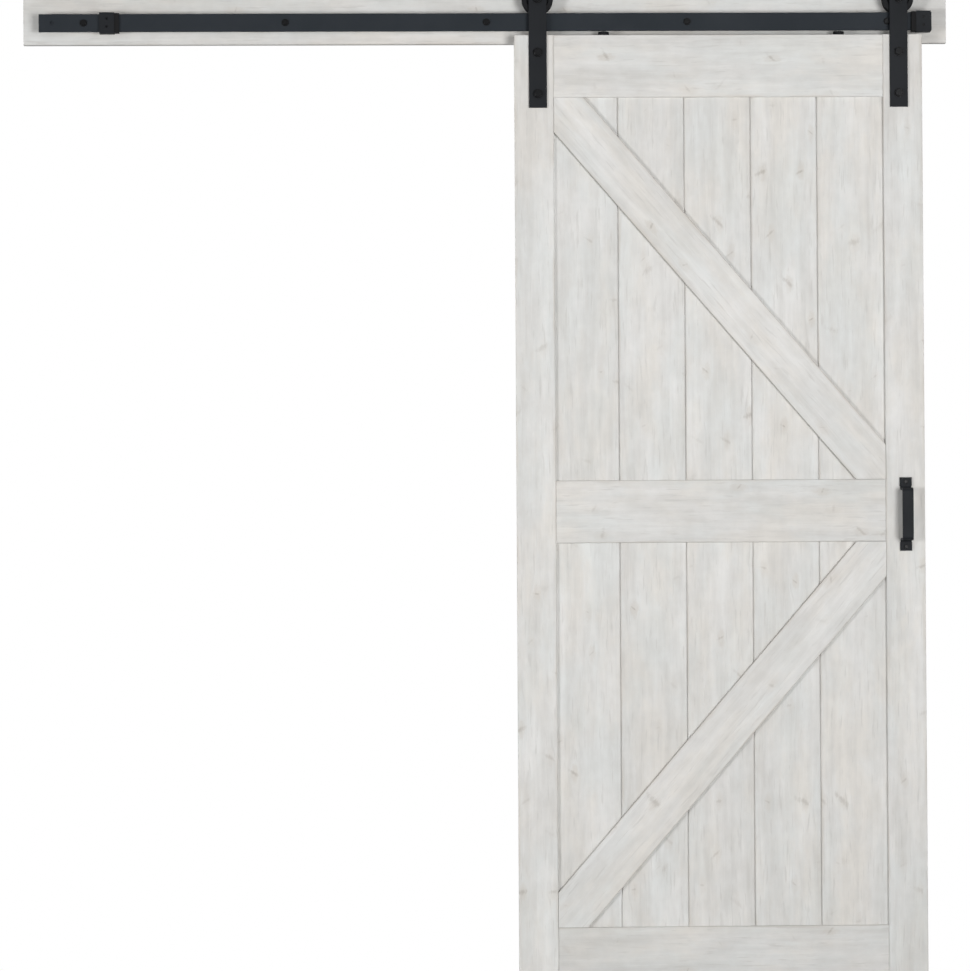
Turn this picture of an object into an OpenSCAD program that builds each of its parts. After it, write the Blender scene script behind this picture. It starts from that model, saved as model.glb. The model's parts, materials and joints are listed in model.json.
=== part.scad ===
// Sliding plank door on a flat track, with its header board.
// A framed leaf of tongue-and-groove planks, braced by a diagonal in each field, hangs from two strap hangers.
// Their grooved wheels roll on a flat bar that standoffs hold clear of the header board.
// X runs along the track, Y points into the wall and Z is up.
// The origin is the middle of the header board's back face, and lengths are in millimetres.

/* [Header board] */
// Length of the board, along the track
header_l = 2076; // [1600:1:3000]
// Height of the board
header_h = 140; // [110:1:240]
// Thickness of the board
header_t = 19; // [16:0.5:40]
// Diameter of the holes for the wall screws
wall_hole_d = 8; // [5:0.5:12]
// Distance between wall screws, from stud to stud
stud_pitch = 406.4; // [300:0.1:620]

/* [Track] */
// Length of the flat bar
track_l = 2000; // [1600:1:2800]
// Height of the flat bar
track_h = 40; // [34:0.5:60]
// Thickness of the flat bar
track_t = 6; // [5:0.5:10]
// Drop of the bar's mid line below the header's mid line
track_drop = 26; // [0:0.5:40]
// Distance from each end of the bar to its first lag screw
lag_inset = 100; // [60:1:200]
// Distance from each end of the bar to its blind hole
blind_inset = 30; // [15:1:45]
// Depth of that hole
blind_depth = 3; // [1:0.5:4]
// Diameter of the standoffs behind the bar
standoff_d = 22; // [16:0.5:26]
// Diameter of a lag screw's shank
lag_d = 8; // [5:0.5:10]
// Width across the flats of a lag screw's head
lag_af = 12; // [10:0.5:14]
// Height of a lag screw's hexagon
lag_hex_h = 4.5; // [3:0.5:6]
// Diameter of the collar under a lag screw's hexagon
lag_collar_d = 16; // [14.5:0.5:20]
// Thickness of that collar
lag_collar_t = 1.2; // [0.8:0.1:2]
// Wood left between a lag screw's tip and the wall
lag_tip_cover = 4; // [2:0.5:8]

/* [Track stops] */
// Length of a stop's clamp block, along the bar
stop_l = 33; // [16:0.5:50]
// Wall of the clamp in front of and behind the bar
stop_wall = 7; // [5:0.5:8]
// Height of the clamp's roof above the bar
stop_roof = 3; // [2:0.5:8]
// Length of the clamp's legs below the bar
stop_leg = 4; // [2:0.5:8]
// Length of a rubber bumper, along the bar
bumper_l = 10.5; // [5:0.5:30]
// How far a bumper stays inside its clamp block's outline all round
bumper_inset = 1.5; // [0.5:0.1:1.5]
// How far the parked right wheel's rim reaches past its bumper's face
park_overlap = 4.5; // [0:0.5:8]
// Gap between the right clamp block and the bar's end
stop_end_gap = 2.5; // [0:0.5:60]
// Gap between the left clamp block and the standoff beside it
left_stop_gap = 24.5; // [5:0.5:300]
// Diameter of the set screws that clamp a stop
set_screw_d = 6; // [4:0.5:8]
// Distance between the two set screws of a stop
set_screw_pitch = 18; // [12:0.5:26]

/* [Door leaf] */
// Width of the leaf
door_w = 914.4; // [700:0.1:1000]
// Height of the leaf
door_h = 2133.6; // [1800:0.1:2500]
// Thickness of the stiles and rails
frame_t = 35; // [30:0.5:50]
// Gap between the leaf's back and the header
door_gap = 10; // [7:0.5:25]
// Gap between the bar and the leaf's top
top_gap = 11; // [9:0.5:25]
// Width of each stile
stile_w = 87.5; // [75:0.5:130]
// Height of the top rail
top_rail_h = 139.5; // [120:0.5:220]
// Height of the middle rail
middle_rail_h = 139.5; // [90:0.5:220]
// Height of the bottom rail
bottom_rail_h = 139.5; // [90:0.5:260]
// Chamfer along the boards' free edges
board_ease = 0.8; // [0.3:0.1:3]
// Chamfer on the frame's edges that meet at a joint, half of the V there
joint_ease = 1.6; // [0.5:0.1:4]
// Width of the floor guide's slot in the leaf's bottom edge
guide_w = 8; // [5:0.5:14]
// Depth of that slot
guide_depth = 17; // [10:0.5:25]

/* [Planks] */
// Thickness of the planks
plank_t = 16; // [14:0.5:25]
// Amount ripped off the first plank of each field
plank_rip = 6; // [0:0.5:60]
// Depth of the plough in the frame that holds the planks
plough_d = 10; // [6:0.5:16]
// Chamfer on each plank's edges, half of the V between two planks
plank_vee = 2; // [1:0.1:4]
// Thickness of a plank's tongue
tongue_t = 6; // [4:0.1:8]
// Length of a plank's tongue
tongue_l = 7; // [4:0.1:10]

/* [Braces] */
// Width of a brace
brace_w = 102; // [60:0.5:160]
// Thickness of a brace, on the face of the planks
brace_t = 9.5; // [4:0.5:12]

/* [Dowels] */
// Diameter of the dowels in the frame's joints
dowel_d = 12; // [8:0.5:14]
// Length of a dowel
dowel_l = 84; // [60:1:110]
// Distance between the two dowels of a joint
dowel_pitch = 36; // [24:0.5:44]

/* [Hangers] */
// Distance from the leaf's edge to a hanger's mid line
hanger_inset = 52.5; // [35:0.5:65]
// Width of a strap
strap_w = 40; // [30:0.5:60]
// Thickness of a strap
strap_t = 5; // [4:0.5:8]
// Drop from the leaf's top to the upper bolt
upper_bolt_drop = 39.5; // [25:0.5:48]
// Drop from the leaf's top to the lower bolt
lower_bolt_drop = 132; // [120:0.5:200]
// Length of strap below the lower bolt
strap_tail = 31; // [18:0.5:60]
// Diameter of the hanger bolts
bolt_d = 10; // [8:0.5:12]
// Width across the flats of the bolt heads and axle nuts
bolt_af = 16; // [14.5:0.5:19]
// Height of a bolt head's hexagon
bolt_hex_h = 6; // [4:0.5:9]
// Diameter of the flange under a bolt head
bolt_flange_d = 21; // [19.5:0.5:28]
// Thickness of that flange
bolt_flange_t = 2; // [1:0.1:3]
// Outside diameter of a sleeve nut, in the leaf
sleeve_d = 13.5; // [13:0.1:16]
// Length of a sleeve nut, in the leaf
sleeve_l = 22; // [14:0.5:27]
// Diameter of a sleeve nut's flange, on the leaf's back
sleeve_flange_d = 24; // [18:0.5:30]
// Thickness of that flange
sleeve_flange_t = 3; // [2.5:0.1:5]

/* [Wheels] */
// Diameter over a wheel's flanges
wheel_d = 70; // [64:0.5:100]
// Width of a wheel
wheel_w = 20; // [17:0.5:30]
// Depth of the groove that rolls on the bar
groove_d = 5; // [3:0.1:6]
// Thickness of a wheel's rim under the groove
rim_t = 7; // [4:0.1:9]
// Gap between a wheel and its strap
wheel_gap = 3; // [1:0.1:8]
// Diameter of the axle
axle_d = 10; // [8:0.5:12]
// Diameter of the spacers on the axle
spacer_d = 14; // [13.5:0.1:14.5]
// Height of an axle nut
nut_h = 8; // [6:0.5:10]
// Outside diameter of a wheel's bearing
bearing_d = 26; // [24:0.5:28]
// Width of a bearing
bearing_w = 8; // [6:0.5:10]
// Diameter of a bearing's balls
ball_d = 4.8; // [4.2:0.1:5.2]

/* [Anti-jump discs] */
// Diameter of a disc
disc_d = 24.5; // [18:0.5:32]
// Gap between a disc and the bar above it
disc_clear = 2; // [1:0.1:4]
// Distance from the leaf's left edge to the left disc
disc_inset_left = 201; // [150:1:350]
// Distance from the leaf's right edge to the right disc
disc_inset_right = 185; // [150:1:350]
// Diameter of a disc's screw
disc_screw_d = 5; // [4:0.1:6]
// Depth of that screw in the leaf
disc_screw_bite = 36; // [20:0.5:60]

/* [Pull] */
// Length of the pull over its feet
pull_l = 164.5; // [145:0.5:260]
// Length of the grip over its legs
grip_l = 117.5; // [100:0.5:135]
// How far the pull stands out of the leaf
pull_reach = 38; // [26:0.5:60]
// Width of the bent bar
pull_w = 24.5; // [16:0.5:30]
// Width of the flared feet
foot_w = 26.5; // [16:0.5:36]
// Thickness of the bar
pull_t = 5; // [3:0.5:6]
// Inside radius of the bar's bends
pull_bend = 4; // [2:0.5:6]
// Drop of the pull's middle below the middle rail's mid line
pull_drop = 9; // [0:0.5:14]
// Diameter of the pull's screws
pull_screw_d = 5; // [3.5:0.1:6]
// Depth of those screws in the stile
pull_screw_bite = 22; // [12:0.5:28]

/* [Hidden] */
$fn = 64;
// Assembly gaps, each per side
fit_clear = 0.1;
seat_clear = 0.05;
lag_clear = 0.5;
roll_clear = 0.3;
groove_clear = 0.6;
groove_flare = 1;
stop_clear = 0.2;
plank_clear = 0.2;
plank_end_clear = 1.5;
plank_gap = 0.8;
shoulder_gap = 0.2;
brace_clear = 0.5;
tenon_clear = 0.3;
ball_clear = 0.05;
ball_gap = 0.2;
// Small edges and recesses
metal_ease = 0.8;
head_ease = 1;
rim_ease = 1;
disc_ease = 1;
drill_point = 1;
bolt_end_cover = 4;
bolt_end_show = 1;
sleeve_floor = 2;
sleeve_key_af = 6;
sleeve_key_depth = 2;
set_screw_recess = 0.5;
set_screw_key_af = 3;
set_screw_key_depth = 3;
rear_spacer_l = 2;
lip_t = 2;
lip_in = 1.5;
dish = 2;
ring_gap = 3;
screw_head_d = 9.6;
screw_head_h = 2.6;
pull_head_d = 9;
pull_head_h = 3;
cross_l = 4.6;
cross_t = 1;
cross_depth = 1.4;
// Length by which a cut runs past the face that it opens
over = 1;
lag_count = 5;
plank_count = 5;

// Heights of the track
track_z = -track_drop;
track_top = track_z + track_h / 2;
track_bottom = track_z - track_h / 2;

// Layers from the wall outwards
header_front = -header_t;
door_back = header_front - door_gap;
door_front = door_back - frame_t;
door_mid = door_back - frame_t / 2;
strap_front = door_front - strap_t;
wheel_y = door_front + wheel_gap + wheel_w / 2;
track_back = wheel_y + track_t / 2;
track_front = wheel_y - track_t / 2;
standoff_l = header_front - track_back;

// Wheel and bearing radii, and the axle's height over the bar
flange_r = wheel_d / 2;
groove_r = flange_r - groove_d;
axle_z = track_top + roll_clear + groove_r;
hub_t = bearing_w + 2 * lip_t;
ball_r = ball_d / 2;
ball_ring_r = (axle_d + bearing_d) / 4;
ball_count = floor(180 / asin((ball_d + ball_gap) / 2 / ball_ring_r));
front_spacer_l = wheel_w / 2 + wheel_gap - bearing_w / 2;

// Stops, and the parked leaf between them
left_stop_x = -track_l / 2 + lag_inset + standoff_d / 2 + left_stop_gap;
right_stop_x = track_l / 2 - stop_end_gap - stop_l;
right_bumper_x = right_stop_x - bumper_l;
left_bumper_x = left_stop_x + stop_l;
right_axle_x = right_bumper_x - flange_r + park_overlap;
door_right = right_axle_x + hanger_inset;
door_left = door_right - door_w;
left_axle_x = door_left + hanger_inset;

// Heights of the leaf and its two fields of planks
door_top = track_bottom - top_gap;
door_bottom = door_top - door_h;
middle_z = (door_top + door_bottom) / 2;
upper_field = [middle_z + middle_rail_h / 2, door_top - top_rail_h];
lower_field = [door_bottom + bottom_rail_h, middle_z - middle_rail_h / 2];
field_left = door_left + stile_w;
field_right = door_right - stile_w;
field_w = field_right - field_left;
plank_pitch = (field_w + plank_rip) / plank_count;
plank_front = door_mid - plank_t / 2;
plank_back = door_mid + plank_t / 2;
plough_t = plank_t + 2 * plank_clear;

// Mid lines of the fasteners
bolt_zs = [door_top - upper_bolt_drop, door_top - lower_bolt_drop];
top_dowel_z = (bolt_zs[0] + bolt_zs[1]) / 2;
bottom_dowel_z = door_bottom + bottom_rail_h / 2;
dowel_zs = [for (z = [top_dowel_z, middle_z, bottom_dowel_z], s = [-1, 1]) z + s * dowel_pitch / 2];
lag_pitch = (track_l - 2 * lag_inset) / (lag_count - 1);
lag_xs = [for (i = [0 : lag_count - 1]) -track_l / 2 + lag_inset + i * lag_pitch];
wall_hole_xs = [for (i = [-1.5, -0.5, 0.5, 1.5]) i * stud_pitch];
pull_x = door_right - stile_w / 2;
pull_z = middle_z - pull_drop;
pull_screw_z = (pull_l + grip_l) / 4 + pull_bend / 2;
disc_xs = [door_left + disc_inset_left, door_right - disc_inset_right];
disc_t = top_gap - disc_clear;

whitewash = "#dcdad5";
beech = "#c8a878";
black_steel = "#323336";
black_nylon = "#29292b";
black_rubber = "#1b1b1c";
bright_steel = "#b8bbbf";

// Extrudes an outline along X: its first axis becomes Z, and its second points out of the wall
module along_x(l) rotate(a = 180, v = [1, 0, 1]) linear_extrude(l) children();

// Round rods that run out of the wall, into the wall, and along X
module rod_out(d, l) rotate([90, 0, 0]) cylinder(d = d, h = l);
module rod_in(d, l) rotate([-90, 0, 0]) cylinder(d = d, h = l);
module rod_x(d, l) rotate([0, 90, 0]) cylinder(d = d, h = l, center = true);

// A hexagon bar that stands on the XY plane, with a corner at the top
module hexagon(af, h) rotate(30) cylinder(d = af / cos(30), h = h, $fn = 6);

// A hexagon head on a round collar, with its corners turned off
module hex_head(af, hex_h, collar_d, collar_t) {
    corner_d = af / cos(30);
    cylinder(d = collar_d, h = collar_t);
    translate([0, 0, collar_t]) intersection() {
        hexagon(af, hex_h);
        union() {
            cylinder(d = corner_d + over, h = hex_h - head_ease);
            translate([0, 0, hex_h - head_ease]) cylinder(d1 = corner_d + over, d2 = af - over, h = head_ease);
        }
    }
}

// A flanged hexagon bolt seated on the plane y = 0, its shank running into the wall
module flange_bolt(d, l) {
    rotate([90, 0, 0]) hex_head(bolt_af, bolt_hex_h, bolt_flange_d, bolt_flange_t);
    rod_in(d, l);
}

// A cross cut down into a screw head whose top is the XY plane
module cross_recess() {
    for (turn = [0, 90]) rotate(turn) translate([-cross_l / 2, -cross_t / 2, -cross_depth])
        cube([cross_l, cross_t, cross_depth + over]);
}

// The groove's share of a board's outline, along the edge at x, from the front to the back or the other way
function groove_points(x, depth, t, width, way) =
    [for (p = [[0, -1], [depth, -1], [depth, 1], [0, 1]]) [x + p[0], t / 2 + way * p[1] * width / 2]];

// Section of a frame board, w wide and frame_t thick: each edge has a groove [depth, width] or none
function board_section(w, low_groove, high_groove) = let (
    low = low_groove ? joint_ease : board_ease,
    high = high_groove ? joint_ease : board_ease) concat(
        [[low, 0], [w - high, 0], [w, high]],
        high_groove ? groove_points(w, -high_groove[0], frame_t, high_groove[1], 1) : [],
        [[w, frame_t - high], [w - high, frame_t], [low, frame_t], [0, frame_t - low]],
        low_groove ? groove_points(0, low_groove[0], frame_t, low_groove[1], -1) : [],
        [[0, low]]);

plough = [plough_d, plough_t];
guide = [guide_depth, guide_w];

// A rectangle with its corners cut off, centred on its first axis
function eased_outline(w, t, ease) = [
    [-w / 2 + ease, 0], [w / 2 - ease, 0], [w / 2, ease], [w / 2, t - ease],
    [w / 2 - ease, t], [-w / 2 + ease, t], [-w / 2, t - ease], [-w / 2, ease]];

// A flat board or bar with all four long edges eased, lying along X and centred on it
module eased_bar(l, h, t, ease)
    translate([-l / 2, 0, 0]) along_x(l) polygon(eased_outline(h, t, ease));

module header_board() {
    pilot_l = header_t - lag_tip_cover + drill_point;
    color(whitewash) difference() {
        eased_bar(header_l, header_h, header_t, board_ease);
        for (x = lag_xs)
            translate([x, header_front - over, track_z]) rod_in(lag_d + 2 * fit_clear, pilot_l + over);
        for (x = wall_hole_xs)
            translate([x, over, track_z]) rod_out(wall_hole_d, header_t + 2 * over);
    }
}

module track_rail() {
    color(black_steel) difference() {
        translate([0, track_back, track_z]) eased_bar(track_l, track_h, track_t, metal_ease);
        for (x = lag_xs)
            translate([x, track_back + over, track_z]) rod_out(lag_d + 2 * lag_clear, track_t + 2 * over);
        for (s = [-1, 1]) translate([s * (track_l / 2 - blind_inset), track_front - over, track_z])
            rod_in(lag_d + 2 * lag_clear, blind_depth + over);
    }
}

module track_standoffs() {
    color(black_steel) for (x = lag_xs) translate([x, header_front, track_z]) difference() {
        rod_out(standoff_d, standoff_l);
        translate([0, over, 0]) rod_out(lag_d + 2 * lag_clear, standoff_l + 2 * over);
    }
}

module track_lag_screws() {
    color(black_steel) for (x = lag_xs) translate([x, track_front, track_z]) {
        rotate([90, 0, 0]) hex_head(lag_af, lag_hex_h, lag_collar_d, lag_collar_t);
        rod_in(lag_d, -track_front - lag_tip_cover);
    }
}

// Section of a piece that sits astride the bar: a roof over it and a leg on each side
module saddle_section(wall, roof, leg) {
    half = track_t / 2 + wall;
    slot = track_t / 2 + stop_clear;
    top = track_h / 2 + roof;
    foot = -track_h / 2 - leg;
    slot_top = track_h / 2 + stop_clear;
    polygon([[foot, -half], [foot, -slot], [slot_top, -slot], [slot_top, slot], [foot, slot], [foot, half],
             [top - metal_ease, half], [top, half - metal_ease], [top, metal_ease - half],
             [top - metal_ease, -half]]);
}

// Places of a clamp block's set screws, at the bar's front
module at_set_screws(x)
    for (s = [-1, 1]) translate([x + stop_l / 2, track_front, track_z + s * set_screw_pitch / 2]) children();

module stop_block(x) {
    color(black_steel) difference() {
        translate([x, wheel_y, track_z]) along_x(stop_l) saddle_section(stop_wall, stop_roof, stop_leg);
        at_set_screws(x) rod_out(set_screw_d + 2 * fit_clear, stop_wall + over);
    }
}

module stop_bumper(x) {
    color(black_rubber) translate([x, wheel_y, track_z]) along_x(bumper_l)
        saddle_section(stop_wall - bumper_inset, stop_roof - bumper_inset, stop_leg - bumper_inset);
}

module stop_set_screws() {
    l = stop_wall - set_screw_recess;
    color(black_steel) for (x = [left_stop_x, right_stop_x]) at_set_screws(x) rotate([90, 0, 0]) difference() {
        cylinder(d = set_screw_d, h = l);
        translate([0, 0, l - set_screw_key_depth]) hexagon(set_screw_key_af, set_screw_key_depth + over);
    }
}

// Both halves of the frame's dowels: at each stile's plough, on the rails' mid lines
module at_dowels(xs) for (x = xs, z = dowel_zs) translate([x, door_mid, z]) children();
left_dowel_x = field_left - plough_d;
right_dowel_x = field_right + plough_d;

module dowel_hole() rod_x(dowel_d + 2 * fit_clear, dowel_l + 2 * drill_point);

module stile(x, low_groove, high_groove, dowel_x) {
    difference() {
        translate([x, door_front, door_bottom]) linear_extrude(door_h)
            polygon(board_section(stile_w, low_groove, high_groove));
        translate([x - over, door_mid - guide_w / 2, door_bottom - over])
            cube([stile_w + 2 * over, guide_w, guide_depth + over]);
        at_dowels([dowel_x]) dowel_hole();
        for (z = bolt_zs) translate([x < middle_x ? left_axle_x : right_axle_x, door_back + over, z])
            rod_out(sleeve_d + 2 * fit_clear, frame_t + 2 * over);
    }
}
middle_x = (door_left + door_right) / 2;

module stile_left() color(whitewash) stile(door_left, undef, plough, left_dowel_x);

module stile_right() {
    color(whitewash) difference() {
        stile(field_right, plough, undef, right_dowel_x);
        at_pull_screws() translate([0, -over, 0])
            rod_in(pull_screw_d + 2 * fit_clear, pull_screw_bite + drill_point + over);
    }
}

// A rail from its foot upwards: a board between the stiles, with a stub tenon in each stile's plough
module rail(foot, h, low_groove, high_groove) {
    board_l = field_w - 2 * shoulder_gap;
    tenon_l = field_w + 2 * (plough_d - tenon_clear);
    tenon_low = low_groove ? low_groove[0] : 0;
    tenon_high = high_groove ? high_groove[0] : 0;
    difference() {
        union() {
            intersection() {
                translate([middle_x - board_l / 2, door_back, foot]) along_x(board_l)
                    polygon(board_section(h, low_groove, high_groove));
                translate([middle_x, door_front, foot - over]) linear_extrude(h + 2 * over)
                    polygon(eased_outline(board_l, frame_t, joint_ease));
            }
            translate([middle_x - tenon_l / 2, plank_front, foot + tenon_low])
                cube([tenon_l, plank_t, h - tenon_low - tenon_high]);
        }
        at_dowels([left_dowel_x, right_dowel_x]) dowel_hole();
    }
}

module rail_top() {
    color(whitewash) difference() {
        rail(upper_field[1], top_rail_h, plough, undef);
        for (x = disc_xs) translate([x, door_mid, door_top - disc_screw_bite - drill_point])
            cylinder(d = disc_screw_d + 2 * fit_clear, h = disc_screw_bite + drill_point + over);
    }
}

module rail_middle() color(whitewash) rail(lower_field[1], middle_rail_h, plough, plough);

module rail_bottom() color(whitewash) rail(door_bottom, bottom_rail_h, guide, plough);

module frame_dowels() color(beech) at_dowels([left_dowel_x, right_dowel_x]) rod_x(dowel_d, dowel_l);

// Section of a plank from x = low to x = high: a groove or a plain edge first, a tongue or a plain edge last
function plank_section(low, high, grooved, tongued) = let (
    t = plank_t,
    v = plank_vee,
    slot_t = tongue_t + 2 * fit_clear,
    slot_l = tongue_l + plank_clear,
    low_edge = grooved
        ? concat([[low + v, t], [low, t - v]], groove_points(low, slot_l, t, slot_t, -1),
                 [[low, v], [low + v, 0]])
        : [[low, t], [low, 0]],
    high_edge = tongued
        ? concat([[high - v, 0], [high, v]], groove_points(high, tongue_l, t, tongue_t, 1),
                 [[high, t - v], [high - v, t]])
        : [[high, 0], [high, t]]) concat(low_edge, high_edge);

// Plank i of a field [foot, head], its ends and outer edges in the plough
module plank(i, field) {
    hold = plough_d - plank_end_clear;
    seam = field_left - plank_rip;
    low = i == 1 ? field_left - hold : seam + (i - 1) * plank_pitch + plank_gap / 2;
    high = i == plank_count ? field_right + hold : seam + i * plank_pitch - plank_gap / 2;
    color(whitewash) translate([0, plank_front, field[0] - hold])
        linear_extrude(field[1] - field[0] + 2 * hold)
            polygon(plank_section(low, high, i > 1, i < plank_count));
}

// A brace on a field's face: a board along the diagonal, mitred by the frame round it
module brace(field, rise) {
    w = field_w - 2 * brace_clear;
    h = field[1] - field[0] - 2 * brace_clear;
    board_l = norm([w, h]) + brace_w;
    section = [[-brace_w / 2, 0], [brace_w / 2, 0], [brace_w / 2, brace_t - board_ease],
               [brace_w / 2 - board_ease, brace_t], [board_ease - brace_w / 2, brace_t],
               [-brace_w / 2, brace_t - board_ease]];
    translate([middle_x, 0, (field[0] + field[1]) / 2]) intersection() {
        rotate([0, -rise * atan2(h, w), 0]) translate([-board_l / 2, 0, 0]) along_x(board_l) polygon(section);
        translate([-w / 2, -brace_t - over, -h / 2]) cube([w, brace_t + 2 * over, h]);
    }
}

module front_brace(field, rise) color(whitewash) translate([0, plank_front, 0]) brace(field, rise);

module back_brace(field, rise)
    color(whitewash) translate([0, plank_back, 0]) mirror([0, 1, 0]) brace(field, rise);

// A flat strap with eased front edges, straight up from its foot to a round head on the axle
module hanger_strap(x) {
    foot = bolt_zs[1] - strap_tail;
    half = strap_w / 2;
    edge = strap_t - metal_ease;
    color(black_steel) translate([x, door_front, 0]) difference() {
        union() {
            translate([0, 0, foot]) linear_extrude(axle_z - foot) polygon([
                [-half, 0], [-half, -edge], [metal_ease - half, -strap_t],
                [half - metal_ease, -strap_t], [half, -edge], [half, 0]]);
            translate([0, 0, axle_z]) rotate([90, 0, 0]) {
                cylinder(d = strap_w, h = edge);
                translate([0, 0, edge]) cylinder(d1 = strap_w, d2 = strap_w - 2 * metal_ease, h = metal_ease);
            }
        }
        for (z = bolt_zs) translate([0, over, z]) rod_out(bolt_d + 2 * fit_clear, strap_t + 2 * over);
        translate([0, over, axle_z]) rod_out(axle_d + 2 * fit_clear, strap_t + 2 * over);
    }
}

// Places of the four hanger bolts, in the plane y
module at_bolts(y) for (x = [left_axle_x, right_axle_x], z = bolt_zs) translate([x, y, z]) children();

module hanger_bolts()
    color(black_steel) at_bolts(strap_front) flange_bolt(bolt_d, strap_t + frame_t - bolt_end_cover);

module hanger_sleeve_nuts() {
    bore_l = sleeve_l - sleeve_floor;
    color(black_steel) at_bolts(door_back) difference() {
        union() {
            rod_out(sleeve_d, sleeve_l);
            rod_in(sleeve_flange_d, sleeve_flange_t);
        }
        translate([0, -sleeve_floor, 0]) rod_out(bolt_d + 2 * fit_clear, bore_l + over);
        translate([0, sleeve_flange_t - sleeve_key_depth, 0]) rotate([-90, 0, 0])
            hexagon(sleeve_key_af, sleeve_key_depth + over);
    }
}

// Distance from a strap's front to the seat of the axle nut behind the wheel
axle_grip = strap_t + front_spacer_l + bearing_w + rear_spacer_l;

module axle_bolt(x)
    color(black_steel) translate([x, strap_front, axle_z]) flange_bolt(axle_d, axle_grip + nut_h + bolt_end_show);

// Places on both axles, from a strap's front into the wall
module at_axles(depth)
    for (x = [left_axle_x, right_axle_x]) translate([x, strap_front + depth, axle_z]) children();

module axle_spacer(l) difference() {
    rod_in(spacer_d, l);
    translate([0, -over, 0]) rod_in(axle_d + 2 * fit_clear, l + 2 * over);
}

module axle_spacers() {
    color(bright_steel) {
        at_axles(strap_t) axle_spacer(front_spacer_l);
        at_axles(axle_grip - rear_spacer_l) axle_spacer(rear_spacer_l);
    }
}

module axle_nuts() {
    color(black_steel) at_axles(axle_grip) rotate([-90, 0, 0]) difference() {
        hexagon(bolt_af, nut_h);
        translate([0, 0, -over]) cylinder(d = axle_d + 2 * fit_clear, h = nut_h + 2 * over);
    }
}

// Turns a half section in radius and height about an axle
module turned(x) translate([x, wheel_y, axle_z]) rotate([90, 0, 0]) rotate_extrude() children();

// A ball race's half section between two radii
module race_section(inner_r, outer_r) difference() {
    translate([inner_r, -bearing_w / 2]) square([outer_r - inner_r, bearing_w]);
    translate([ball_ring_r, 0]) circle(r = ball_r + ball_clear);
}

module bearing_inner_ring(x)
    color(bright_steel) turned(x) race_section(axle_d / 2 + seat_clear, ball_ring_r - ring_gap / 2);

module bearing_outer_ring(x)
    color(bright_steel) turned(x) race_section(ball_ring_r + ring_gap / 2, bearing_d / 2);

module bearing_balls(x) {
    color(bright_steel) translate([x, wheel_y, axle_z]) rotate([90, 0, 0])
        for (i = [0 : ball_count - 1]) rotate(i * 360 / ball_count) translate([ball_ring_r, 0, 0]) sphere(r = ball_r);
}

module wheel(x) {
    seat_r = bearing_d / 2 + seat_clear;
    lip_r = bearing_d / 2 - lip_in;
    rim_r = groove_r - rim_t;
    side = wheel_w / 2;
    groove = track_t / 2 + groove_clear;
    mouth = groove + groove_flare;
    color(black_nylon) turned(x) polygon([
        [seat_r, -hub_t / 2], [seat_r, bearing_w / 2], [lip_r, bearing_w / 2], [lip_r, hub_t / 2],
        [rim_r, hub_t / 2], [rim_r + dish, side], [flange_r - rim_ease, side], [flange_r, side - rim_ease],
        [flange_r, mouth], [groove_r, groove], [groove_r, -groove], [flange_r, -mouth],
        [flange_r, rim_ease - side], [flange_r - rim_ease, -side], [rim_r + dish, -side], [rim_r, -hub_t / 2]]);
}

// A disc on the leaf's top, with a seat for its countersunk screw
module anti_jump_disc(x) {
    bore_r = disc_screw_d / 2 + fit_clear;
    head_r = screw_head_d / 2 + fit_clear;
    r = disc_d / 2;
    color(black_nylon) translate([x, door_mid, door_top]) rotate_extrude() polygon([
        [bore_r, 0], [r, 0], [r, disc_t - disc_ease], [r - disc_ease, disc_t], [head_r, disc_t],
        [bore_r, disc_t - screw_head_h]]);
}

module anti_jump_screws() {
    r = disc_screw_d / 2;
    color(black_steel) for (x = disc_xs) translate([x, door_mid, door_top]) difference() {
        rotate_extrude() polygon([
            [0, -disc_screw_bite], [r, -disc_screw_bite], [r, disc_t - screw_head_h], [screw_head_d / 2, disc_t],
            [0, disc_t]]);
        translate([0, 0, disc_t]) cross_recess();
    }
}

// A quarter of a bar's bend round the origin, between angles of 0 and 90 degrees
module bend_section() intersection() {
    difference() {
        circle(r = pull_bend + pull_t);
        circle(r = pull_bend);
    }
    square(pull_bend + pull_t);
}

// Half of the bent bar, from the grip's middle to its leg: along the leaf, then towards it
module half_pull_section() {
    outer = pull_bend + pull_t;
    leg_end = grip_l / 2;
    translate([0, pull_reach - pull_t]) square([leg_end - outer, pull_t]);
    translate([leg_end - outer, pull_reach - outer]) bend_section();
    translate([leg_end - pull_t, outer]) square([pull_t, pull_reach - 2 * outer]);
    translate([leg_end + pull_bend, outer]) rotate(180) bend_section();
}

module at_pull_screws()
    for (s = [-1, 1]) translate([pull_x, door_front, pull_z + s * pull_screw_z]) children();

module pull_handle() {
    foot_at = grip_l / 2 + pull_bend;
    color(black_steel) difference() {
        translate([pull_x, door_front, pull_z]) {
            translate([-pull_w / 2, 0, 0]) along_x(pull_w)
                for (s = [0, 1]) mirror([s, 0]) half_pull_section();
            translate([-foot_w / 2, 0, 0]) along_x(foot_w)
                for (s = [0, 1]) mirror([s, 0]) translate([foot_at, 0]) square([pull_l / 2 - foot_at, pull_t]);
        }
        at_pull_screws() translate([0, over, 0]) rod_out(pull_screw_d + 2 * fit_clear, pull_t + 2 * over);
    }
}

module pull_screws() {
    color(black_steel) at_pull_screws() {
        translate([0, -pull_t, 0]) rotate([90, 0, 0]) difference() {
            union() {
                cylinder(d = pull_head_d, h = pull_head_h - head_ease);
                translate([0, 0, pull_head_h - head_ease])
                    cylinder(d1 = pull_head_d, d2 = pull_head_d - 2 * head_ease, h = head_ease);
            }
            translate([0, 0, pull_head_h]) cross_recess();
        }
        translate([0, -pull_t, 0]) rod_in(pull_screw_d, pull_t + pull_screw_bite);
    }
}

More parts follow.
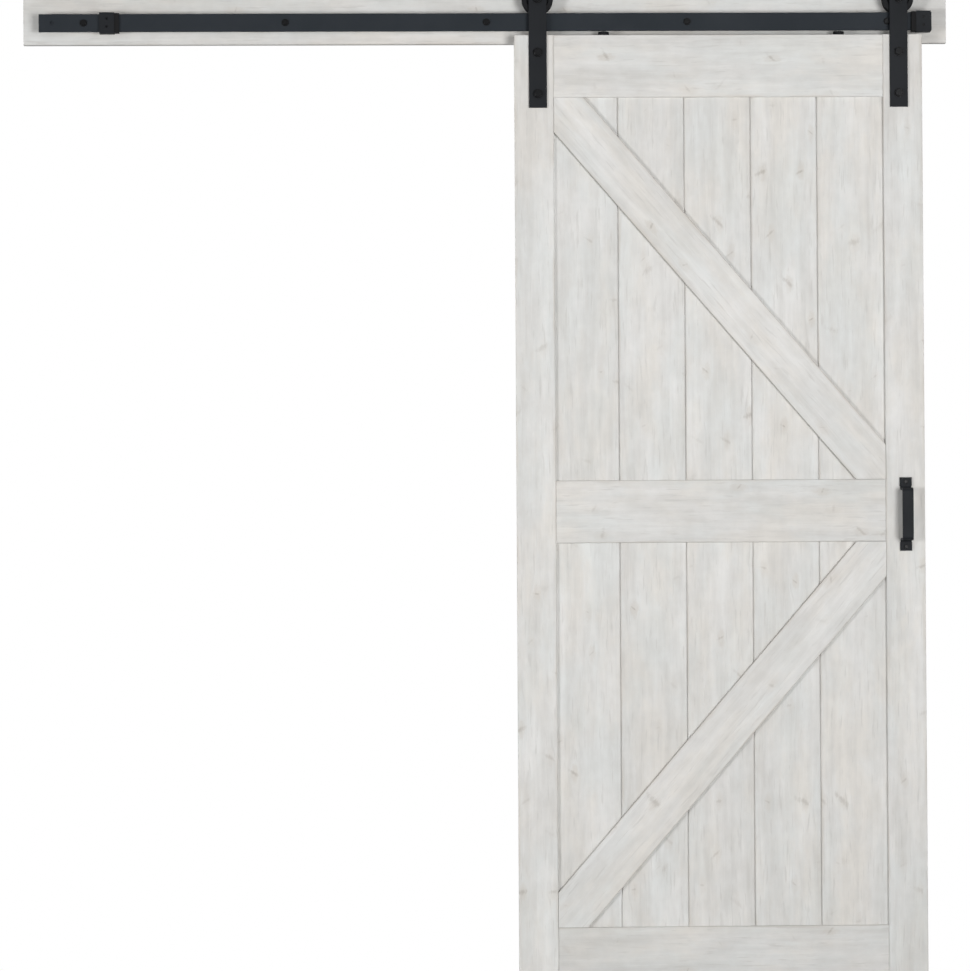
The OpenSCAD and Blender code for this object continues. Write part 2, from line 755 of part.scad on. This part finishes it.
header_board();
track_rail();
track_standoffs();
track_lag_screws();
stop_block(left_stop_x);  // stop_block_left
stop_block(right_stop_x);  // stop_block_right
stop_bumper(left_bumper_x);  // stop_bumper_left
stop_bumper(right_bumper_x);  // stop_bumper_right
stop_set_screws();
stile_left();
stile_right();
rail_top();
rail_middle();
rail_bottom();
for (i = [1 : plank_count]) {
    plank(i, upper_field);
    plank(i, lower_field);
}
front_brace(upper_field, -1);  // brace_upper_front
front_brace(lower_field, 1);  // brace_lower_front
back_brace(upper_field, -1);  // brace_upper_back
back_brace(lower_field, 1);  // brace_lower_back
frame_dowels();
hanger_strap(left_axle_x);  // hanger_strap_left
hanger_strap(right_axle_x);  // hanger_strap_right
hanger_bolts();
hanger_sleeve_nuts();
axle_bolt(left_axle_x);  // axle_bolt_left
axle_bolt(right_axle_x);  // axle_bolt_right
axle_spacers();
axle_nuts();
bearing_inner_ring(left_axle_x);  // bearing_inner_ring_left
bearing_inner_ring(right_axle_x);  // bearing_inner_ring_right
bearing_balls(left_axle_x);  // bearing_balls_left
bearing_balls(right_axle_x);  // bearing_balls_right
bearing_outer_ring(left_axle_x);  // bearing_outer_ring_left
bearing_outer_ring(right_axle_x);  // bearing_outer_ring_right
wheel(left_axle_x);  // wheel_left
wheel(right_axle_x);  // wheel_right
anti_jump_disc(disc_xs[0]);  // anti_jump_disc_left
anti_jump_disc(disc_xs[1]);  // anti_jump_disc_right
anti_jump_screws();
pull_handle();
pull_screws();
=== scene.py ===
# %% [markdown]
# # A whitewashed plank door on a flat track
# The door hangs from two strap hangers whose grooved wheels roll along a flat black bar. A matching header
# board carries the bar. The CAD part already holds every board, bolt, wheel and bearing ball at its real
# size and place, so this lesson adds no shapes of its own. It adds what a camera sees: paint, grain, powder
# coat and light. Everything below is in metres, in the part's own frame: X along the track, Y into the wall
# and Z up.

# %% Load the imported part
import json
import math

import bpy
import bmesh
from mathutils import Matrix, Vector


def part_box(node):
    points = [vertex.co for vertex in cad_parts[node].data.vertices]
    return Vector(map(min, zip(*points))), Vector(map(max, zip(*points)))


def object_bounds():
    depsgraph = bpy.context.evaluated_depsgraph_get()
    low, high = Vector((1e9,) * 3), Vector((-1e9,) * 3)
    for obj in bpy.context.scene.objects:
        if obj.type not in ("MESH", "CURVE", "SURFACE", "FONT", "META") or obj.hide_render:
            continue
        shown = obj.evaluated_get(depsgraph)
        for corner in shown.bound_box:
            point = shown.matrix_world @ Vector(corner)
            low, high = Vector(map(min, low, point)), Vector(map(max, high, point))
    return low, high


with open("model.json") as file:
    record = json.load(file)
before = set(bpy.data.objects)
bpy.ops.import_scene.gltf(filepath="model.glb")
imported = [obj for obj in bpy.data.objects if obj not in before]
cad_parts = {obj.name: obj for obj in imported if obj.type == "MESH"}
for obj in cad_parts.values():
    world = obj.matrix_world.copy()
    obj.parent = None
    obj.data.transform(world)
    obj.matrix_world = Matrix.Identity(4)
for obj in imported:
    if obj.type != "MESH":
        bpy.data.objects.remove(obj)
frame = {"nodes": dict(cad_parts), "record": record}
cad_low, cad_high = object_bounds()
nodes = frame["nodes"]

# %% [markdown]
# ## The camera
# A product photographer stands far back with a long lens, so that upright edges stay upright. The camera's
# place and its three small angles were fitted to the door's corners, and its focal length is kept in pixels
# of the picture, because that is how a fit measures it. Blender wants millimetres on a sensor, so one line
# converts it.

# %% Place the camera
PICTURE_WIDTH = 970
FOCAL_PIXELS = 3281.4
SENSOR_WIDTH_MM = 36
CAMERA_PLACE = Vector((-0.1797, -7.3867, -1.1489))
CAMERA_YAW, CAMERA_PITCH, CAMERA_ROLL = (math.radians(a) for a in (-1.3315, 0.6659, 0.3337))

camera = bpy.data.objects.new("camera", bpy.data.cameras.new("camera"))
camera.data.sensor_fit = "HORIZONTAL"
camera.data.sensor_width = SENSOR_WIDTH_MM
camera.data.lens = FOCAL_PIXELS / PICTURE_WIDTH * SENSOR_WIDTH_MM
turn = Matrix.Rotation(CAMERA_YAW, 4, "Z") @ Matrix.Rotation(CAMERA_PITCH, 4, "X")
turn = turn @ Matrix.Rotation(CAMERA_ROLL, 4, "Y")
look_along_y = Matrix.Rotation(math.pi / 2, 4, "X")
camera.matrix_world = Matrix.Translation(CAMERA_PLACE) @ turn @ look_along_y
bpy.context.scene.collection.objects.link(camera)
bpy.context.scene.camera = camera
bpy.context.scene.view_settings.view_transform = "Standard"
print(f"lens {camera.data.lens:.1f} mm, {-CAMERA_PLACE.y:.2f} m in front of the wall")

# %% [markdown]
# ## Shader sums as Python
# A material is a small program made of nodes. Wiring it by hand is slow to read, so two helpers stand in
# for the wires. A Wire holds one output socket, and arithmetic on it adds a Math node. A Finish holds one
# node tree, and its add method makes any other node: first its settings, then its sockets, each a number, a
# colour or a Wire.

# %% Wires and finishes


class Wire:
    """An output socket that takes part in sums: each operator adds a Math node behind it."""

    def __init__(self, finish, socket):
        self.finish = finish
        self.socket = socket

    def sibling(self, name):
        """Another output of the same node."""
        return Wire(self.finish, self.socket.node.outputs[name])

    def math(self, operation, *values):
        return self.finish.add("ShaderNodeMath", {"operation": operation}, dict(enumerate(values)))

    def __add__(self, other):
        return self.math("ADD", self, other)

    __radd__ = __add__

    def __sub__(self, other):
        return self.math("SUBTRACT", self, other)

    def __rsub__(self, other):
        return self.math("SUBTRACT", other, self)

    def __mul__(self, other):
        return self.math("MULTIPLY", self, other)

    __rmul__ = __mul__

    def __truediv__(self, other):
        return self.math("DIVIDE", self, other)

    def __pow__(self, other):
        return self.math("POWER", self, other)

    def __abs__(self):
        return self.math("ABSOLUTE", self)

    def above(self, limit):
        return self.math("GREATER_THAN", self, limit)

    def larger(self, other):
        return self.math("MAXIMUM", self, other)

    def sine(self):
        return self.math("SINE", self)


class Finish:
    """One node tree, with a short way to add a node to it."""

    def __init__(self, tree):
        self.tree = tree
        tree.nodes.clear()

    def add(self, kind, settings=None, sockets=None, out=0):
        node = self.tree.nodes.new(kind)
        for name, value in (settings or {}).items():
            setattr(node, name, value)
        for key, value in (sockets or {}).items():
            enabled = [s for s in node.inputs if s.enabled]
            socket = enabled[key] if isinstance(key, int) else next(s for s in enabled if s.name == key)
            if isinstance(value, Wire):
                self.tree.links.new(value.socket, socket)
            else:
                socket.default_value = value
        shown = [s for s in node.outputs if s.enabled]
        if not shown:
            return None
        return Wire(self, shown[out] if isinstance(out, int) else next(s for s in shown if s.name == out))

    def place(self):
        """Where a point of the surface lies, in metres."""
        return self.add("ShaderNodeTexCoord", out="Object")

    def point(self, x, y, z):
        return self.add("ShaderNodeCombineXYZ", None, {"X": x, "Y": y, "Z": z})

    def vector_sum(self, operation, *vectors, out=0):
        return self.add("ShaderNodeVectorMath", {"operation": operation}, dict(enumerate(vectors)), out)

    def along(self, vector, direction):
        return self.vector_sum("DOT_PRODUCT", vector, direction, out="Value")

    def noise(self, vector, detail=2.0, rough=0.5):
        sockets = {"Vector": vector, "Scale": 1.0, "Detail": detail, "Roughness": rough}
        return self.add("ShaderNodeTexNoise", {"noise_dimensions": "3D"}, sockets)

    def speckle(self, place, per_metre, detail):
        """Noise at one size in X, Y and Z, or at three, one for each."""
        sizes = per_metre if isinstance(per_metre, tuple) else (per_metre,) * 3
        return self.noise(self.vector_sum("MULTIPLY", place, sizes), detail)

    def fade(self, value, start, end):
        """1 up to start, 0 from end on, and smooth between them."""
        sockets = {"Value": value, "From Min": start, "From Max": end, "To Min": 1.0, "To Max": 0.0}
        return self.add("ShaderNodeMapRange", {"interpolation_type": "SMOOTHSTEP"}, sockets)

    def blend(self, first, second, share):
        """A colour that goes from first to second as share goes from 0 to 1."""
        settings = {"data_type": "RGBA", "blend_type": "MIX"}
        return self.add("ShaderNodeMix", settings, {"Factor": share, "A": first, "B": second})

    def bump(self, height, depth, strength):
        return self.add("ShaderNodeBump", None, {"Strength": strength, "Distance": depth, "Height": height})

    def seen(self):
        """1 for a ray that shows a thing to the camera, also in gloss or glass, and 0 for any other."""
        camera_ray, gloss_ray, glass_ray = (self.add("ShaderNodeLightPath", out=f"Is {kind} Ray")
                                            for kind in ("Camera", "Glossy", "Transmission"))
        return camera_ray.larger(gloss_ray).larger(glass_ray)


def new_finish(name):
    material = bpy.data.materials.new(name)
    material.use_nodes = True
    return material, Finish(material.node_tree)


def shade(finish, **sockets):
    """Ends a finish in one Principled shader: base_color sets Base Color, and so on."""
    named = {key.replace("_", " ").title().replace("Ior", "IOR"): value for key, value in sockets.items()}
    surface = finish.add("ShaderNodeBsdfPrincipled", None, named)
    finish.add("ShaderNodeOutputMaterial", None, {"Surface": surface})


def paint(red, green, blue):
    """A colour as it looks on a screen, from 0 to 255, turned into the light that it reflects."""
    screen = [c / 255 for c in (red, green, blue)]
    linear = [c / 12.92 if c <= 0.04045 else ((c + 0.055) / 1.055) ** 2.4 for c in screen]
    return (*linear, 1.0)


print("helpers ready: a mid grey of 128 reflects", round(paint(128, 128, 128)[0], 3))

# %% [markdown]
# ## Studio light
# The relief on the door is under 10 mm deep, so its lines come from soft shade. Two soft boxes stand in
# front, a little above the middle of the door: a large main one at the right, and a weaker one far out at
# the left. Between them every proud edge gets a soft shadow on both sides, dark and narrow on its left,
# faint and wide on its right. The main box has a grid over it and is aimed at the door's upper left, so the
# light fades a little towards the floor. A third box, behind and to the left, reaches the back, the top and
# the left edges. The world fills the rest. To the camera, and in gloss and glass, the world is plain white,
# which gives a white background with no extra light on the object.
#
# A lamp's watts say little about how bright a board gets. It is easier to choose the share of full light
# that each lamp gives the door's middle, and to work the watts out from the distance, the slant and the
# grid.

# %% Light the studio
AMBIENT = 0.17
WHITE = (1, 1, 1, 1)
DOOR_MIDDLE = Vector((0.52, -0.06, -1.1))
DOOR_UPPER_LEFT = Vector((0.2, -0.06, -0.05))
GRID_SPREAD = math.radians(116)
OPEN_SPREAD = math.pi
# Each box's place, its width and height, its share of full light, what it is aimed at and how wide it spreads
SOFT_BOXES = {
    "right_soft_box": (Vector((2.1, -5.0, -0.98)), (1.8, 2.0), 0.605, DOOR_UPPER_LEFT, GRID_SPREAD),
    "left_soft_box": (Vector((-3.6, -4.3, -1.0)), (1.2, 1.2), 0.245, DOOR_MIDDLE, OPEN_SPREAD),
    "back_soft_box": (Vector((-2.6, 2.4, 0.3)), (2.0, 2.0), 0.4, DOOR_MIDDLE, OPEN_SPREAD),
}

world = bpy.data.worlds.new("studio")
bpy.context.scene.world = world
world.use_nodes = True
sky = Finish(world.node_tree)
strength = AMBIENT + (1 - AMBIENT) * sky.seen()
light = sky.add("ShaderNodeBackground", None, {"Color": WHITE, "Strength": strength})
sky.add("ShaderNodeOutputWorld", None, {"Surface": light})


def soft_box(name, place, size, share, aim, spread):
    """A lamp with the watts that give the door's middle that share of full light."""
    ray = DOOR_MIDDLE - place
    slant = abs(ray.y) / ray.length
    off_axis = ray.angle(aim - place)
    widest = math.tan(spread / 2)
    grid = (widest - math.tan(off_axis)) / (widest - spread / 2)
    lamp = bpy.data.objects.new(name, bpy.data.lights.new(name, "AREA"))
    lamp.data.shape = "RECTANGLE"
    lamp.data.size, lamp.data.size_y = size
    lamp.data.spread = spread
    lamp.data.energy = share * math.pi ** 2 * ray.length_squared / (slant * math.cos(off_axis) * grid)
    lamp.location = place
    lamp.rotation_euler = (aim - place).to_track_quat("-Z", "Y").to_euler()
    lamp.visible_camera = False
    bpy.context.scene.collection.objects.link(lamp)
    print(f"{name}: {lamp.data.energy:.0f} W at {ray.length:.1f} m")


for name, settings in SOFT_BOXES.items():
    soft_box(name, *settings)

# %% [markdown]
# ## The floor
# The leaf hangs a finger's breadth above the floor. A pale sheet under it takes its shadow and sends some
# light back up. The camera sees it as half melted into the white background, and at its rim as all white,
# so that no view shows an edge. Gloss and glass show it in the same way.

# %% Lay the floor
FLOOR_GAP = 0.010
FLOOR_CENTRE = Vector((0.25, -0.9))
FLOOR_HALF = Vector((2.2, 1.2))
FLOOR_FADE_X = (1.2, 2.1)
FLOOR_FADE_Y = (0.75, 1.15)
FLOOR_SOLID = 0.55
FLOOR_PAINT = (paint(190, 190, 189), paint(196, 196, 195))
FLOOR_SPECKLES = 60.0

sheet = bmesh.new()
floor_z = cad_low.z - FLOOR_GAP
corners = [FLOOR_CENTRE + FLOOR_HALF * Vector(signs) for signs in ((-1, -1), (1, -1), (1, 1), (-1, 1))]
sheet.faces.new([sheet.verts.new((corner.x, corner.y, floor_z)) for corner in corners])
floor_mesh = bpy.data.meshes.new("floor")
sheet.to_mesh(floor_mesh)
sheet.free()
floor = bpy.data.objects.new("floor", floor_mesh)
bpy.context.scene.collection.objects.link(floor)

floor_paint, f = new_finish("pale_floor")
place = f.place()
from_x = abs(f.along(place, (1, 0, 0)) - FLOOR_CENTRE.x)
from_y = abs(f.along(place, (0, 1, 0)) - FLOOR_CENTRE.y)
solid = f.fade(from_x, *FLOOR_FADE_X) * f.fade(from_y, *FLOOR_FADE_Y) * FLOOR_SOLID
speckled = f.blend(*FLOOR_PAINT, f.speckle(place, FLOOR_SPECKLES, 3.0))
matt = f.add("ShaderNodeBsdfPrincipled", None, {"Base Color": speckled, "Roughness": 0.8})
white = f.add("ShaderNodeEmission", None, {"Color": WHITE, "Strength": 1.0})
melts = (1 - solid) * f.seen()
surface = f.add("ShaderNodeMixShader", None, {0: melts, 1: matt, 2: white})
f.add("ShaderNodeOutputMaterial", None, {"Surface": surface})
floor.data.materials.append(floor_paint)
print(f"floor at z = {floor_z:.3f}")

# %% [markdown]
# ## Whitewashed boards
# Whitewash is thin paint: the grain, the knots and the sapwood show through as faint grey and beige. One
# picture of wood would repeat on every board, so each board is cut from its own place in an endless block
# of wood instead. The block is described by the distance along the grain, across it and through it, and
# these three run the right way on uprights, rails and braces alike.
#
# Knots come first, because they push the grain aside. Each sits in a random cell of the block, where three
# dice say whether it is there, how large it is and how dark. Most are small and cut at a slant, so they
# show as a ragged spot with a leaning tail and a faint stain round it.

# %% Knots
# A cell, the stain of a knot and the swell of the grain round it: how long they are and how wide
KNOT_CELL = (0.17, 0.062)
STAIN_REACH = (0.026, 0.011)
SWELL_REACH = (0.060, 0.018)
# How far the grain moves aside, as a share of its distance from the knot's middle
SWELL_PUSH = 0.6
# The share of cells with a knot, its smallest and largest radius, and how much of the faintest one shows
KNOT_SHARE = 0.75
KNOT_RADIUS = (0.0012, 0.0042)
KNOT_FAINTEST = 0.25
# The first die also leans a knot: how far, and where it stands upright
KNOT_LEAN = 2.6
KNOT_UPRIGHT = 0.62
# How steep a knot is on its short side and on its tail, and where it ends, in radii
KNOT_SIDES = (0.7, 0.3)
KNOT_RIM = 2.6
# Notches to the metre along the grain and across it, and how deep they are
NOTCHES = (80.0, 190.0)
MARK_RAGGED = 4.5
STAIN_RAGGED = 2.0


def knots(f, u, v, w):
    """The dark mark of each knot, the stain round it, and how far the grain moves across to pass it."""
    cell = f.point(u / KNOT_CELL[0], v / KNOT_CELL[1], 0.0)
    voronoi = {"voronoi_dimensions": "2D", "feature": "F1"}
    middle = f.add("ShaderNodeTexVoronoi", voronoi, {"Vector": cell, "Scale": 1.0}, out="Position")
    dice = middle.sibling("Color")
    off = f.vector_sum("SUBTRACT", cell, middle)
    off_u = f.along(off, (KNOT_CELL[0], 0, 0))
    off_v = f.along(off, (0, KNOT_CELL[1], 0))
    first, second, third = (f.along(dice, axis) for axis in ((1, 0, 0), (0, 1, 0), (0, 0, 1)))

    def oval(reach):
        return (off_u / reach[0]) ** 2 + (off_v / reach[1]) ** 2

    there = first.above(1 - KNOT_SHARE) * (KNOT_FAINTEST + (1 - KNOT_FAINTEST) * third ** 2.0)
    size = KNOT_RADIUS[0] + (KNOT_RADIUS[1] - KNOT_RADIUS[0]) * second ** 2.0
    lean = KNOT_LEAN * (first - KNOT_UPRIGHT)
    tail = KNOT_SIDES[0] - (KNOT_SIDES[0] - KNOT_SIDES[1]) * off_v.above(0.0)
    ragged = f.noise(f.point(u * NOTCHES[0], v * NOTCHES[1], w * NOTCHES[0]), 3.0, 0.65) - 0.5
    radii = ((off_v * tail) ** 2 + (off_u + lean * off_v) ** 2) ** 0.5 / size
    mark = f.fade(radii + ragged * MARK_RAGGED, 0.0, KNOT_RIM) * there
    stain = f.fade(oval(STAIN_REACH) + ragged * STAIN_RAGGED, 0.0, 1.0) * there
    swell = f.fade(oval(SWELL_REACH), 0.0, 1.0) * there
    return mark, stain, SWELL_PUSH * off_v * swell


print(f"a knot in {KNOT_SHARE:.0%} of the cells, up to {KNOT_RADIUS[1] * 1000:.1f} mm in radius")

# %% [markdown]
# Streaks are noise that is stretched along the grain, from broad bands down to single fibres. Growth rings
# are circles round a pith that wanders below the face, which gives the long arches on flat-sawn boards. The
# wash covers all of it, thinner on the hard late wood, and it wears off the edges a little. Along the braces'
# edges a dark line is painted in: painted shade for the shadow lines where the braces stand proud of the
# planks.

# %% Grain and wash
WASH = paint(228, 227, 225)
WASH_THICK = paint(234, 233, 231)
WASH_WARM = paint(226, 220, 211)
WASH_COOL = paint(217, 222, 222)
GRAIN = paint(190, 188, 184)
STAIN = paint(198, 191, 182)
KNOT = paint(158, 151, 143)
# From one board's place in the block to the next, along the grain and across it
BLOCK_STEP = (3.71, 1.37)
# How far the grain wanders across, and its lumps to the metre along and across
WANDER = 0.012
WANDER_LUMPS = (2.6, 11.0)
# How far the pith sways sideways, how deep it lies, and the bends to the metre of both
PITH_SWAY = 0.16
PITH_DEPTH = (0.03, 0.10)
PITH_BENDS = (0.8, 1.3)
RING_SPACING = 0.011
RING_WAVER = 7.0
# Worn edges, and the painted shade line along a brace's edges: where each fades out into full wash, from the
# edge
WORN_WIDTH = (0.0005, 0.007)
WORN_RAGGED = 0.012
EDGE_SHADE_WIDTH = (0.0005, 0.0030)
# Noise seldom leaves this range
NOISE_RANGE = (0.33, 0.67)
# Lumps to the metre along the grain and across it, then the noise's detail and its roughness
PATTERNS = {
    "patches": (5.0, 12.0, 4.0, 0.6),
    "bands": (2.0, 24.0, 3.0, 0.5),
    "blots": (24.0, 45.0, 4.0, 0.6),
    "figure": (55.0, 10.0, 2.0, 0.5),
    "streaks": (7.0, 95.0, 1.0, 0.5),
    "dashes": (15.0, 165.0, 3.0, 0.55),
    "hairs": (11.0, 380.0, 2.0, 0.6),
    "fibres": (30.0, 1100.0, 2.0, 0.5),
    "warm": (4.0, 9.0, 5.0, 0.65),
    "cool": (3.3, 8.0, 5.0, 0.65),
}
# How far each of these thins the wash
THINNED_BY = {"patches": 0.15, "bands": 0.24, "blots": 0.16, "figure": 0.03, "streaks": 0.10}
THINNED_BY_LATE_WOOD = 0.05


def tinted(colour, tone):
    return (*(c * tone for c in colour[:3]), 1.0)


def late_wood_rings(f, from_middle, w, block_u, bands):
    """Dark lines round a pith that wanders along the board, below its face."""
    shallow, deep = PITH_DEPTH
    pith_v = (f.noise(f.point(block_u * PITH_BENDS[0], 0.0, 4.0)) - 0.5) * PITH_SWAY
    pith_w = shallow + f.noise(f.point(block_u * PITH_BENDS[1], 7.0, 0.0)) * (deep - shallow)
    ring = ((from_middle - pith_v) ** 2 + (w + pith_w) ** 2) ** 0.5
    return ((ring * (2 * math.pi / RING_SPACING) + bands * RING_WAVER).sine() * 0.5 + 0.5) ** 3.0


def whitewash(name, grain, centre, width, seed, tone=1.0, bare_arris=0.0):
    """Thin white paint on one board: grain is its direction in the X-Z plane, and width runs across it."""
    material, f = new_finish(name)
    across = Vector((-grain.z, 0, grain.x))
    place = f.place()
    v = f.along(place, across) - across.dot(centre)
    w = f.along(place, (0, 1, 0)) - centre.y
    block_u = f.along(place, grain) + (BLOCK_STEP[0] * seed - grain.dot(centre))
    block_v = v + BLOCK_STEP[1] * seed
    mark, stain, push = knots(f, block_u, block_v, w)
    lumps_u, lumps_v = WANDER_LUMPS
    wander = (f.noise(f.point(block_u * lumps_u, block_v * lumps_v, w * lumps_v)) - 0.5) * WANDER
    flow = block_v - push + wander
    look = {pattern: f.noise(f.point(block_u * along, flow * over, w * over), detail, rough)
            for pattern, (along, over, detail, rough) in PATTERNS.items()}
    streaks, hairs = look["streaks"], look["hairs"]
    late_wood = late_wood_rings(f, flow - BLOCK_STEP[1] * seed, w, block_u, look["bands"])

    from_edge = width / 2 - abs(v)
    worn = f.fade(from_edge + (streaks - 0.5) * WORN_RAGGED, *WORN_WIDTH)
    rubbed = f.fade(f.noise(f.point(block_u * 4.0, v.above(0.0), 3.0)), 0.40, 0.56)
    facing = f.add("ShaderNodeNewGeometry", out="Normal")
    cut_end = 1 - f.fade(abs(f.along(facing, grain)), 0.6, 0.9)
    thin = late_wood * THINNED_BY_LATE_WOOD
    for pattern, share in THINNED_BY.items():
        thin += f.fade(look[pattern], *NOISE_RANGE) * share

    layers = [
        (WASH_WARM, f.fade(look["warm"], 0.36, 0.60) * 0.55),
        (WASH_COOL, f.fade(look["cool"], 0.36, 0.60) * 0.5),
        (GRAIN, thin),
        (WASH_THICK, (1 - f.fade(hairs, 0.56, 0.74)) * 0.2),
        (GRAIN, f.fade(hairs, 0.28, 0.44) * 0.06),
        (GRAIN, f.fade(look["dashes"], 0.29, 0.42) * 0.4),
        (STAIN, stain * 0.4),
        (KNOT, mark * 0.5),
        (STAIN, worn * rubbed * 0.42),
        (GRAIN, cut_end * 0.3),
        # Painted shade: a dark line along a brace's edges, standing in for the shadow lines of its relief
        (KNOT, f.fade(from_edge, *EDGE_SHADE_WIDTH) * bare_arris),
    ]
    colour = tinted(WASH, tone)
    for layer, share in layers:
        colour = f.blend(colour, tinted(layer, tone), share)

    height = look["fibres"] * 0.3 + hairs * 0.3 + streaks * 0.5 + late_wood * 0.25 - mark * 0.4
    shade(f, base_color=colour, roughness=0.72 + (streaks - 0.5) * 0.2 + thin * 0.1,
          specular_ior_level=0.3, normal=f.bump(height, 0.0005, 0.25))
    return material


print(f"{len(PATTERNS)} patterns of grain, {len(THINNED_BY)} of them thin the wash")

# %% [markdown]
# Every board takes a seed, which is its place in the block, and its own box says how wide it is. A brace
# runs at a slant, so its width can't be read off its box and is given.

# %% Cut a finish for every board
UP = Vector((0, 0, 1))
LEVEL = Vector((1, 0, 0))
BRACE_WIDTH = 0.102
# How dark the painted shade line along the braces' edges is
BRACE_EDGE_SHADE = 0.36
# Boards painted lighter or darker than the rest: the left stile a shade lighter, and the middle and bottom
# rails a shade darker, which is painted shade for the light that fades towards the floor
TONES_AND_PAINTED_SHADE = {"stile_left": 1.01, "rail_middle": 0.965, "rail_bottom": 0.965}


def brace_grain(node, rise):
    """A brace lies along the diagonal of the field that its box fills."""
    low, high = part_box(node)
    return Vector((high.x - low.x, 0, rise * (high.z - low.z))).normalized()


def board_finish(node, grain, seed, width=None, **looks):
    low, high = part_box(node)
    if width is None:
        width = high.x - low.x if grain == UP else high.z - low.z
    return whitewash(f"whitewash_{node}", grain, (low + high) / 2, width, seed, **looks)


def dress(node, material):
    nodes[node].data.materials.clear()
    nodes[node].data.materials.append(material)


boards = [("header_board", LEVEL), ("stile_left", UP), ("stile_right", UP),
          ("rail_top", LEVEL), ("rail_middle", LEVEL), ("rail_bottom", LEVEL)]
boards += [(f"plank_{field}_{i}", UP) for field in ("upper", "lower") for i in range(1, 6)]
for seed, (node, grain) in enumerate(boards, start=1):
    # The lower rails get a darker tone here, painted shade for the light fading towards the floor
    dress(node, board_finish(node, grain, seed, tone=TONES_AND_PAINTED_SHADE.get(node, 1.0)))
for side in ("front", "back"):
    for field, rise in (("upper", -1), ("lower", 1)):
        seed += 1
        node = f"brace_{field}_{side}"
        grain = brace_grain(node, rise)
        dress(node, board_finish(node, grain, seed, BRACE_WIDTH, bare_arris=BRACE_EDGE_SHADE))
print(f"{seed} boards, each from its own place in the block")

# %% [markdown]
# ## Black hardware
# The track, the straps, the bolts and the pull are steel with a matt powder coat. Close up such a coat has
# a fine orange peel, and hands and wheels leave it a little smoother in places. It is dark grey and not
# black: a surface without any light of its own would look like a hole in the picture. Bolts, screws and
# nuts are darker and smoother, so their rims and sockets stand out from the straps.

# %% Powder coat
FIXINGS = ("bolt", "screw", "nut")


def powder_coat(name, coat, dust, gloss=0.1, roughness=0.5):
    material, f = new_finish(name)
    place = f.place()
    cloud = f.speckle(place, 9.0, 3.0)
    mottle = f.speckle(place, 70.0, 3.0)
    peel = f.speckle(place, 1400.0, 2.0)
    colour = f.blend(coat, dust, f.fade(cloud, 0.35, 0.7) * 0.5 + mottle * 0.3)
    shade(f, base_color=colour, roughness=roughness + cloud * 0.12 + (mottle - 0.5) * 0.1,
          specular_ior_level=gloss, normal=f.bump(peel, 0.0002, 0.3))
    return material


steel = powder_coat("powder_coat", paint(24, 26, 29), paint(33, 35, 38))
bar_steel = powder_coat("powder_coat_bar", paint(35, 40, 45), paint(44, 48, 53))
fixing_steel = powder_coat("black_fixings", paint(9, 10, 12), paint(16, 17, 19), gloss=0.11, roughness=0.26)
coated = [row["node"] for row in frame["record"]["subparts"] if row["material_slot"] == "black_steel"]
for node in coated:
    is_fixing = any(word in node for word in FIXINGS)
    dress(node, fixing_steel if is_fixing else steel)
dress("track_rail", bar_steel)
print(f"{len(coated)} powder-coated nodes")

# %% [markdown]
# ## Nylon, rubber, bearing steel and beech
# The wheels and the anti-jump discs are turned from black nylon, so faint circles run round them. The
# bumpers are moulded rubber, duller than the coat. Inside each wheel a ball bearing of ground steel carries
# the load, and beech dowels hold the frame's joints.

# %% The other finishes
LATHE_FEED = 0.0006
ACROSS_WALL = Vector((0, 1, 0))


def turned_nylon(name, axis_place, axis):
    """Black nylon with the fine circles of a lathe round an axis."""
    material, f = new_finish(name)
    place = f.place()
    flat = f.vector_sum("MULTIPLY", f.vector_sum("SUBTRACT", place, axis_place), Vector((1, 1, 1)) - axis)
    radius = f.vector_sum("LENGTH", flat, out="Value")
    circles = (radius * (2 * math.pi / LATHE_FEED)).sine() * 0.5 + 0.5
    grit = f.speckle(place, 220.0, 3.0)
    colour = f.blend(paint(15, 16, 18), paint(22, 23, 25), grit)
    shade(f, base_color=colour, roughness=0.4 + grit * 0.15 + circles * 0.05, specular_ior_level=0.1,
          normal=f.bump(circles * 0.6 + grit * 0.4, 0.00008, 0.4))
    return material


def moulded_rubber(name):
    material, f = new_finish(name)
    place = f.place()
    grain = f.speckle(place, 900.0, 3.0)
    bloom = f.speckle(place, 60.0, 2.0)
    colour = f.blend(paint(14, 14, 15), paint(24, 24, 25), bloom * 0.7 + grain * 0.2)
    shade(f, base_color=colour, roughness=0.78 + bloom * 0.12, specular_ior_level=0.2,
          normal=f.bump(grain, 0.0002, 0.4))
    return material


def ground_steel(name):
    material, f = new_finish(name)
    place = f.place()
    smear = f.speckle(place, 300.0, 2.0)
    lines = f.speckle(place, (60.0, 4000.0, 60.0), 2.0)
    colour = f.blend(paint(190, 193, 197), paint(214, 216, 219), smear)
    shade(f, base_color=colour, metallic=1.0, roughness=0.2 + lines * 0.14,
          normal=f.bump(lines, 0.00002, 0.3))
    return material


def turned_beech(name):
    material, f = new_finish(name)
    place = f.place()
    lengthwise = f.speckle(place, (25.0, 420.0, 420.0), 3.0)
    flecks = f.fade(f.speckle(place, (160.0, 1500.0, 1500.0), 2.0), 0.3, 0.45)
    colour = f.blend(paint(206, 174, 130), paint(181, 143, 100), lengthwise * 0.8 + flecks * 0.3)
    shade(f, base_color=colour, roughness=0.6 + lengthwise * 0.1, normal=f.bump(lengthwise, 0.0002, 0.3))
    return material


rubber = moulded_rubber("moulded_rubber")
bearing_steel = ground_steel("ground_bearing_steel")
for side in ("left", "right"):
    for node, axis in ((f"wheel_{side}", ACROSS_WALL), (f"anti_jump_disc_{side}", UP)):
        low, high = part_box(node)
        dress(node, turned_nylon(f"nylon_{node}", (low + high) / 2, axis))
    dress(f"stop_bumper_{side}", rubber)
    for piece in ("inner_ring", "outer_ring", "balls"):
        dress(f"bearing_{piece}_{side}", bearing_steel)
dress("axle_spacers", bearing_steel)
dress("frame_dowels", turned_beech("turned_beech"))
print(f"{len(bpy.data.materials)} materials in all")
